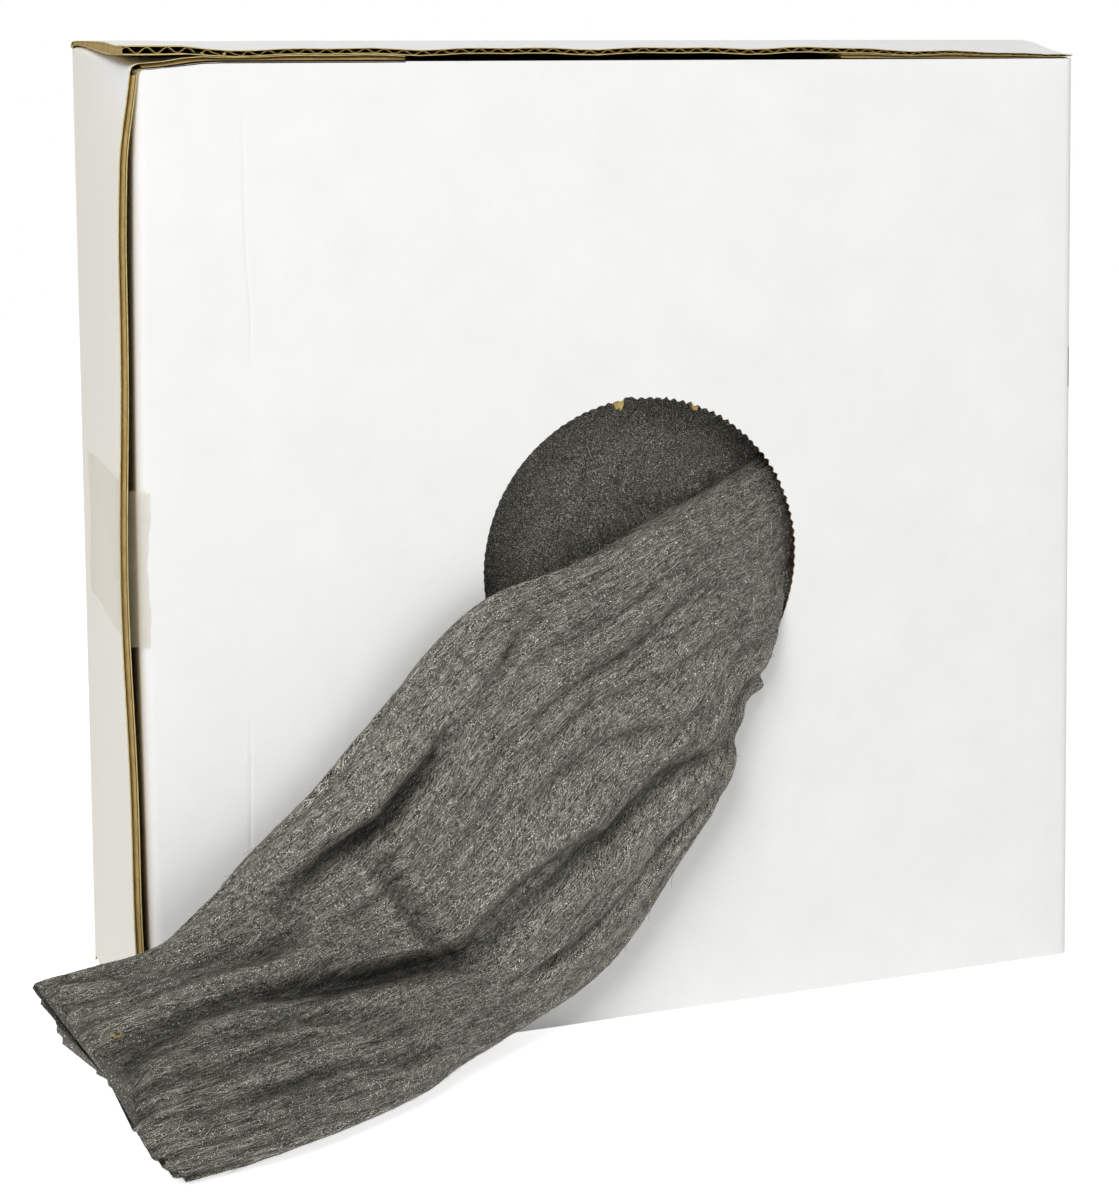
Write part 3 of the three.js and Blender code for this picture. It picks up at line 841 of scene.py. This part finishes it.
# Steel wool in bulk: a grey mat of fine bright shavings that lie along the ribbon, dark between them.
# The shavings are near 0.05 mm wide and are drawn at about 0.2 mm, in three layers that cross at small
# angles, so that they show in the render. Single bright glints, painted highlights in the colour, are about
# 0.4 mm apart, and the colour is darkened by painted shade in the grooves.
bulk_wool, tree, surface = start_material("steel_wool_bulk")
grain = add_node(tree, "Attribute", {"attribute_name": "grain"})
layers = []
for turn, scale in ((0.0, (130.0, 4800.0, 1.0)), (0.2, (200.0, 4300.0, 1.0)), (-0.3, (330.0, 3900.0, 1.0))):
    lay = add_node(tree, "Mapping", {"Rotation": (0.0, 0.0, turn)}, {"Vector": grain.outputs["Vector"]})
    stretch = add_node(tree, "Mapping", {"Scale": scale}, {"Vector": lay.outputs["Vector"]})
    shavings = add_node(
        tree,
        "TexNoise",
        {"Scale": 1.0, "Detail": 3.0, "Roughness": 0.6},
        {"Vector": stretch.outputs["Vector"]},
    )
    layers.append(shavings.outputs["Fac"])
mat = layers[0]
for shavings in layers[1:]:
    mat = add_node(tree, "Math", {"operation": "MAXIMUM"}, {0: mat, 1: shavings}).outputs["Value"]
tone = add_node(tree, "ValToRGB", {}, {"Fac": mat})
tone.color_ramp.elements[0].position, tone.color_ramp.elements[1].position = 0.53, 0.73
tone.color_ramp.elements[0].color, tone.color_ramp.elements[1].color = linear("#0e0e0d"), linear("#cfccbb")
place_node = add_node(tree, "TexCoord")
# Painted highlight: small bright glint dots mixed into the colour.
painted_glint_noise = add_node(
    tree, "TexNoise", {"Scale": 2600.0, "Detail": 1.0}, {"Vector": place_node.outputs["Object"]}
)
painted_glint_mask = add_node(tree, "MapRange", {"From Min": 0.62, "From Max": 0.7}, {"Value": painted_glint_noise.outputs["Fac"]})
bright = add_node(
    tree,
    "Mix",
    {"data_type": "RGBA", 7: linear("#f2efe2")},
    {0: painted_glint_mask.outputs["Result"], 6: tone.outputs["Color"]},
)
# Painted shade: the colour is multiplied by the darkening stored at the points.
painted_groove_shade_node = add_node(tree, "Attribute", {"attribute_name": "painted_shade"})
shaded = add_node(
    tree,
    "Mix",
    {"data_type": "RGBA", "blend_type": "MULTIPLY", 0: 1.0},
    {6: bright.outputs[2], 7: painted_groove_shade_node.outputs["Color"]},
)
tree.links.new(shaded.outputs[2], surface.inputs["Base Color"])
bump = add_node(tree, "Bump", {"Strength": 0.8, "Distance": 0.0006}, {"Height": mat})
tree.links.new(bump.outputs["Normal"], surface.inputs["Normal"])
surface.inputs["Metallic"].default_value = 0.35
surface.inputs["Roughness"].default_value = 0.55

caps = [centre_line[0], wool[-1].mean(0)]
wool_points = np.concatenate([wool.reshape(-1, 3), caps])
wool_quads = row_faces(wool_steps, wool_around, True)
flat_wool = wool.reshape(-1, 3)
a, b, c = (flat_wool[wool_quads[:, k]] for k in (0, 1, 2))
quad_normals = wool_normal.reshape(-1, 3)[wool_quads[:, 0]]
turned = np.einsum("ij,ij->i", np.cross(b - a, c - a), quad_normals).sum() < 0
ring = np.arange(wool_around)
start_cap = np.stack([np.full(wool_around, len(flat_wool)), (ring + 1) % wool_around, ring], 1)
end_ring = (wool_steps - 1) * wool_around
end_cap = np.stack(
    [np.full(wool_around, len(flat_wool) + 1), end_ring + ring, end_ring + (ring + 1) % wool_around], 1
)
wool_faces = list(wool_quads) + list(start_cap) + list(end_cap)
if turned:
    wool_faces = [face[::-1] for face in wool_faces]
ribbon = make_piece("drawn_wool", wool_points, wool_faces, [bulk_wool], sharp=180)
grain_values = np.zeros((len(wool_points), 3), np.float32)
grain_values[: len(flat_wool), 0] = along_mm.ravel() / 1000
grain_values[: len(flat_wool), 1] = np.minimum(across_mm, ribbon_girth - across_mm).ravel() / 1000
add_values(ribbon, "grain", grain_values)
# Painted shade: the colour is darkened in the grooves and dips, down to 0.18 of its tone at the deepest.
painted_groove_shade = np.exp(-np.maximum(sunk, 0) / 5.0)
painted_groove_shade_values = np.ones((len(wool_points), 3), np.float32)
painted_groove_shade_values[: len(flat_wool)] = (0.18 + 0.82 * painted_groove_shade).reshape(-1, 1)
add_values(ribbon, "painted_shade", painted_groove_shade_values)
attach(ribbon, "root")
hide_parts("steel_wool_roll")


# The wound roll behind the lid: many turns of the same ribbon, whose edges make a flat, felted face
# that shows in shadow through the opening. It stands on the bottom flaps against the back.
roll_radius, roll_x, roll_z = 158.7, 2.0, 165.3
roll_face, roll_rear, roll_round = -43.0, 53.7, 9.0
roll_sides = 180
round_at = roll_radius - roll_round
profile = [(r, roll_face) for r in np.concatenate([np.linspace(1.2, 76, 30), np.linspace(84, round_at, 8)])]
face_rows = len(profile)
for t in np.linspace(0.3, 1.57, 5):
    profile.append((round_at + roll_round * math.sin(t), roll_face + roll_round - roll_round * math.cos(t)))
for t in np.linspace(0, 1.57, 5):
    profile.append((round_at + roll_round * math.cos(t), roll_rear - roll_round + roll_round * math.sin(t)))
profile += [(r, roll_rear) for r in (100.0, 50.0, 4.0)]
spin = 2 * math.pi * np.arange(roll_sides) / roll_sides
rolled = np.array(
    [[(roll_x + r * math.cos(t), y, roll_z + r * math.sin(t)) for t in spin] for r, y in profile]
)


# The face's felted unevenness, from the edges of the turns.
def felted(x, z):
    return 0.9 * uneven(x / 13, z / 13, 31) + 0.5 * uneven(x / 4.5, z / 4.5, 32)


rolled[:face_rows, :, 1] += felted(rolled[:face_rows, :, 0], rolled[:face_rows, :, 2])
roll_ends = [(roll_x, roll_face, roll_z), (roll_x, roll_rear, roll_z)]
roll_points = np.concatenate([rolled.reshape(-1, 3), roll_ends])
roll_quads = row_faces(len(profile), roll_sides, True)
ring = np.arange(roll_sides)
last_ring = (len(profile) - 1) * roll_sides
face_cap = np.stack([np.full(roll_sides, len(roll_points) - 2), ring, (ring + 1) % roll_sides], 1)
rear_cap = np.stack(
    [np.full(roll_sides, len(roll_points) - 1), last_ring + (ring + 1) % roll_sides, last_ring + ring], 1
)
roll_faces = list(roll_quads) + list(face_cap[:, ::-1]) + list(rear_cap[:, ::-1])
a, b, c = (roll_points[roll_quads[0][k]] for k in (0, 1, 2))
if np.cross(b - a, c - a)[1] > 0:
    roll_faces = [face[::-1] for face in roll_faces]
wound = make_piece("wound_wool", roll_points, roll_faces, [bulk_wool], sharp=180)
add_values(wound, "grain", roll_points[:, [0, 2, 1]] * [7, 0.7, 1] / 1000)
# The roll's colour is darkened evenly to 0.8 of its tone through the same painted-shade value.
add_values(wound, "painted_shade", np.full((len(roll_points), 3), 0.8))
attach(wound, "root")
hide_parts("steel_wool_roll")


# The shavings that show singly on the wool: thin steel strands that lie along the ribbon, dip in and
# out of it, cross each other, and stand off its outline and its cut end as fuzz.
strand_points = 6


# Three-sided strands along lines of points, thinner at their ends.
def strand_mesh(lines, normals, radius):
    count, steps = lines.shape[:2]
    run = np.gradient(lines, axis=1)
    run /= np.maximum(np.linalg.norm(run, axis=2), 1e-9)[:, :, None]
    side = np.cross(run, normals)
    side /= np.maximum(np.linalg.norm(side, axis=2), 1e-9)[:, :, None]
    top = np.cross(side, run)
    taper = np.interp(np.linspace(0, 1, steps), [0, 0.15, 0.85, 1], [0.35, 1, 1, 0.35])
    girth_at = (radius[:, None] * taper[None])[:, :, None]
    thirds = (0, 2 * math.pi / 3, 4 * math.pi / 3)
    corners = [lines + girth_at * (math.cos(t) * top + math.sin(t) * side) for t in thirds]
    points = np.stack(corners, 2).reshape(-1, 3)
    base = (np.arange(count)[:, None] * steps + np.arange(steps - 1)[None]).ravel() * 3
    quads = [
        np.stack([base + k, base + (k + 1) % 3, base + 3 + (k + 1) % 3, base + 3 + k], 1) for k in range(3)
    ]
    first_ring = np.arange(count) * steps * 3
    ends = [np.stack([first_ring + 2, first_ring + 1, first_ring], 1)]
    ends.append(np.stack([first_ring, first_ring + 1, first_ring + 2], 1) + (steps - 1) * 3)
    return points, list(np.concatenate(quads)) + list(np.concatenate(ends))


# Bright drawn steel: sharp, narrow glints from each strand, some duller and darker than others, at random
# and by painted shade where they lie in the ribbon's grooves.
steel, tree, surface = start_material("steel_strand")
shade = add_node(tree, "Attribute", {"attribute_name": "shade"})
tone = add_node(tree, "ValToRGB", {}, {"Fac": shade.outputs["Fac"]})
tone.color_ramp.elements[0].color, tone.color_ramp.elements[1].color = linear("#1c1c19"), linear("#f4f1e4")
middle_tone = tone.color_ramp.elements.new(0.5)
middle_tone.color = linear("#7d7a6c")
tree.links.new(tone.outputs["Color"], surface.inputs["Base Color"])
surface.inputs["Metallic"].default_value = 0.85
surface.inputs["Roughness"].default_value = 0.28


def add_strands(name, lines, normals, radius, painted_groove_shade):
    points, faces = strand_mesh(lines, normals, radius)
    piece = make_piece(name, points, faces, [steel], sharp=180)
    # Painted shade: each strand's random tone is darkened by the painted groove shade of the ribbon beneath
    # it.
    add_values(piece, "shade", np.repeat(chance.beta(0.9, 1.6, len(lines))[:, None] * painted_groove_shade, 3))
    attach(piece, "root")
    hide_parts("steel_wool_roll")


# A point of the ribbon's surface, its normal and its painted groove shade, at rows along it and columns
# round it.
def on_ribbon(row, column):
    row = np.clip(row, 0, wool_steps - 1.001)
    i, f = row.astype(int), (row % 1)[..., None]
    j, g = np.floor(column).astype(int), (column % 1)[..., None]

    def between(sheet):
        low = sheet[i, j % wool_around] * (1 - f) + sheet[i + 1, j % wool_around] * f
        high = sheet[i, (j + 1) % wool_around] * (1 - f) + sheet[i + 1, (j + 1) % wool_around] * f
        return low * (1 - g) + high * g

    normal = between(wool_normal)
    normal = normal / np.linalg.norm(normal, axis=-1)[..., None]
    return between(wool), normal, between(painted_groove_shade[..., None])[..., 0]


# Lines of strands on the ribbon: some steep, some at the cut end, and a few that stray up off it.
def lay_strands(count, length, spread, lift, columns, stray=0.0):
    at_end = chance.random(count) < 0.1
    near_end, anywhere = chance.uniform(0.93, 1.0, count), chance.uniform(0.1, 1.0, count)
    start = np.where(at_end, near_end, anywhere) * (wool_steps - 1)
    column = chance.uniform(*columns, count) * wool_around
    length = chance.lognormal(math.log(length), 0.35, count)
    slope = chance.normal(0, spread, count)
    slope = np.where(chance.random(count) < 0.12, slope * 2.6, slope)
    curl = chance.normal(0, 0.25, count)
    q = np.linspace(-0.5, 0.5, strand_points)[None]
    speed = np.interp(start, np.arange(wool_steps), np.gradient(run_length))
    around = np.interp(start, np.arange(wool_steps), girth) / wool_around
    row = start[:, None] + q * (length * np.cos(slope) / speed)[:, None]
    wave = curl[:, None] * (q**2 - 0.08) + 0.02 * np.sin(q * 9 + start[:, None])
    column = column[:, None] + (q * np.sin(slope)[:, None] + wave) * (length / around)[:, None]
    spots, normals, painted_strand_shade = on_ribbon(row, column)
    past = np.maximum(row - (wool_steps - 1), 0)[..., None]
    spots = spots + end_run * past * np.gradient(run_length)[-1] * 0.12
    height = chance.uniform(*lift, count)[:, None] * (1 - (2 * q) ** 4) - 0.12
    rising = (chance.random(count) < stray)[:, None] * chance.uniform(0.6, 2.6, count)[:, None]
    height = height + rising * np.clip(q + 0.5, 0, 1) ** 1.6
    lines = spots + normals * height[..., None]
    lines[..., 2] = np.maximum(lines[..., 2], 0.15)
    outside = np.hypot(lines[..., 0] - opening_x, lines[..., 2] - opening_z) > opening_radius - 1.5
    held = (row < 0.2 * wool_steps) & outside & (lines[..., 0] > opening_x)
    lines[..., 1] = np.where(held, np.maximum(lines[..., 1], front + board + 0.4), lines[..., 1])
    return lines, normals, painted_strand_shade


# Strands on the ribbon: how many, length in millimetres, spread of direction in radians, lift off the
# mat in millimetres, share of the girth that they lie on, and share that strays.
for part, (count, length, spread, lift, columns, stray) in {
    "a": (5200, 5, 0.32, (0.02, 0.25), (0.0, 0.5), 0.0),
    "b": (5200, 4, 0.6, (0.05, 0.3), (0.0, 0.5), 0.02),
    "c": (5200, 7, 0.5, (0.05, 0.5), (-0.06, 0.94), 0.08),
}.items():
    lines, normals, painted_strand_shade = lay_strands(count, length, spread, lift, columns, stray)
    add_strands("wool_strands_" + part, lines, normals, chance.uniform(0.03, 0.06, count), painted_strand_shade)

# Strands on the roll's face, in all directions, where they show through the opening.
count = 1500
spot = chance.uniform(-1, 1, (count, 2)) * (opening_radius + 14)
direction = chance.uniform(0, math.pi, count)
length = chance.lognormal(math.log(11), 0.4, count)
q = np.linspace(-0.5, 0.5, strand_points)[None]
bend = chance.normal(0, 0.7, count)[:, None] * q
x = opening_x + spot[:, :1] + q * length[:, None] * np.cos(direction[:, None] + bend)
z = opening_z + spot[:, 1:] + q * length[:, None] * np.sin(direction[:, None] + bend)
lift = chance.uniform(0.3, 1.6, count)[:, None] * (1 - (2 * q) ** 2)
lines = np.stack([x, roll_face + felted(x, z) + 0.15 - lift, z], 2)
face_normals = np.broadcast_to([0.0, -1.0, 0.0], lines.shape)
# The strands on the roll's face are darkened evenly to 0.7 of their tone through the same painted-shade
# value.
painted_face_shade = np.full(lines.shape[:2], 0.7)
add_strands("wool_strands_face", lines, face_normals, chance.uniform(0.035, 0.07, count), painted_face_shade)

# A fleck of brown paper caught in the wool beside its cut end: a small curled shred.
curl = np.linspace(0, 4.2, 12)
middle, fleck_normal, _ = on_ribbon(np.array([0.972 * (wool_steps - 1)]), np.array([0.185 * wool_around]))
fleck_side = np.cross(fleck_normal[0], end_run)
shred = middle[0] + np.outer(1.5 * np.cos(curl), end_run)
shred = shred + np.outer(1.3 * np.sin(curl) + 0.35 * curl, fleck_side) + fleck_normal[0] * 0.5
points, faces = strand_mesh(shred[None], np.broadcast_to(fleck_normal[0], (1, 12, 3)), np.array([0.42]))
fleck = make_piece("paper_fleck", points, faces, [kraft], sharp=60)
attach(fleck, "root")
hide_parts("steel_wool_roll")


# The studio: a pale floor that keeps the soft shadow, a large soft light at the upper left, a weaker one
# at the right, and a white surround.
floor_size = 6.0


# How far a ray sees the plain white background: fully from the camera and by way of metal and film.
def background_seen(tree):
    path = add_node(tree, "LightPath")
    seen = path.outputs["Is Camera Ray"]
    for ray in ("Is Glossy Ray", "Is Transmission Ray"):
        either = add_node(tree, "Math", {"operation": "MAXIMUM"}, {0: seen, 1: path.outputs[ray]})
        seen = either.outputs["Value"]
    return seen


# The place and turn of a lamp or the camera, from its three axes and its spot.
def stance(x_axis, y_axis, z_axis, spot):
    rows = [[x_axis[k], y_axis[k], z_axis[k], spot[k]] for k in range(3)]
    return Matrix(rows + [[0, 0, 0, 1]])


floor = make_piece(
    "floor",
    np.array([(-1, -1, 0), (1, -1, 0), (1, 1, 0), (-1, 1, 0)]) * floor_size * 500,
    [np.arange(4)],
    [],
)
pale, tree, surface = start_material("pale_floor")
surface.inputs["Base Color"].default_value = linear("#f2f2f2")
surface.inputs["Roughness"].default_value = 0.9
glow = add_node(tree, "Emission", {"Color": (1.0, 1.0, 1.0, 1.0), "Strength": 0.7})
lit = add_node(tree, "AddShader", {}, {0: surface.outputs["BSDF"], 1: glow.outputs["Emission"]})
mix = add_node(
    tree,
    "MixShader",
    {},
    {"Fac": background_seen(tree), 1: surface.outputs["BSDF"], 2: lit.outputs["Shader"]},
)
tree.links.new(mix.outputs["Shader"], tree.nodes["Material Output"].inputs["Surface"])
floor.data.materials.append(pale)

world = bpy.data.worlds.new("white_surround")
bpy.context.scene.world = world
world.use_nodes = True
tree = world.node_tree
sky = tree.nodes["Background"]
sky.inputs["Color"].default_value = (1.0, 1.0, 1.0, 1.0)
strength = add_node(tree, "MapRange", {"To Min": 0.31, "To Max": 1.0}, {"Value": background_seen(tree)})
tree.links.new(strength.outputs["Result"], sky.inputs["Strength"])

for name, spot, aim, size, power in (
    ("soft_light_left", (-1.1, -1.5, 1.7), (0.0, -0.05, 0.16), 1.2, 36.0),
    ("soft_light_right", (1.3, -1.6, 0.9), (0.0, -0.05, 0.16), 1.4, 6.0),
):
    lamp = bpy.data.lights.new(name, "AREA")
    lamp.shape, lamp.size, lamp.energy = "DISK", size, power
    holder = bpy.data.objects.new(name, lamp)
    bpy.context.collection.objects.link(holder)
    z_axis = np.array(spot) - np.array(aim)
    z_axis /= np.linalg.norm(z_axis)
    x_axis = np.cross([0, 0, 1], z_axis)
    x_axis /= np.linalg.norm(x_axis)
    y_axis = np.cross(z_axis, x_axis)
    holder.matrix_world = stance(x_axis, y_axis, z_axis, spot)

# The camera stands a little left of the carton's middle and below its top. Its focal length is given in
# pixels of the photo, on the longer side.
focal_pixels, photo_pixels = 2361, 1200
camera_place = np.array([-0.280, -0.795, 0.312])
yaw, pitch, roll = (math.radians(angle) for angle in (18.981, 6.595, -0.668))
ahead = np.array([math.sin(yaw) * math.cos(pitch), math.cos(yaw) * math.cos(pitch), -math.sin(pitch)])
level = np.array([math.cos(yaw), -math.sin(yaw), 0.0])
over = np.cross(level, ahead)
camera_x = math.cos(roll) * level + math.sin(roll) * over
camera_y = -math.sin(roll) * level + math.cos(roll) * over
lens = bpy.data.cameras.new("photo_camera")
lens.sensor_width, lens.lens, lens.shift_y = 36.0, 36.0 * focal_pixels / photo_pixels, -0.18
lens.clip_start, lens.clip_end = 0.05, 20.0
camera = bpy.data.objects.new("photo_camera", lens)
bpy.context.collection.objects.link(camera)
camera.matrix_world = stance(camera_x, camera_y, -ahead, camera_place)
bpy.context.scene.camera = camera
bpy.context.scene.view_settings.view_transform = "Standard"
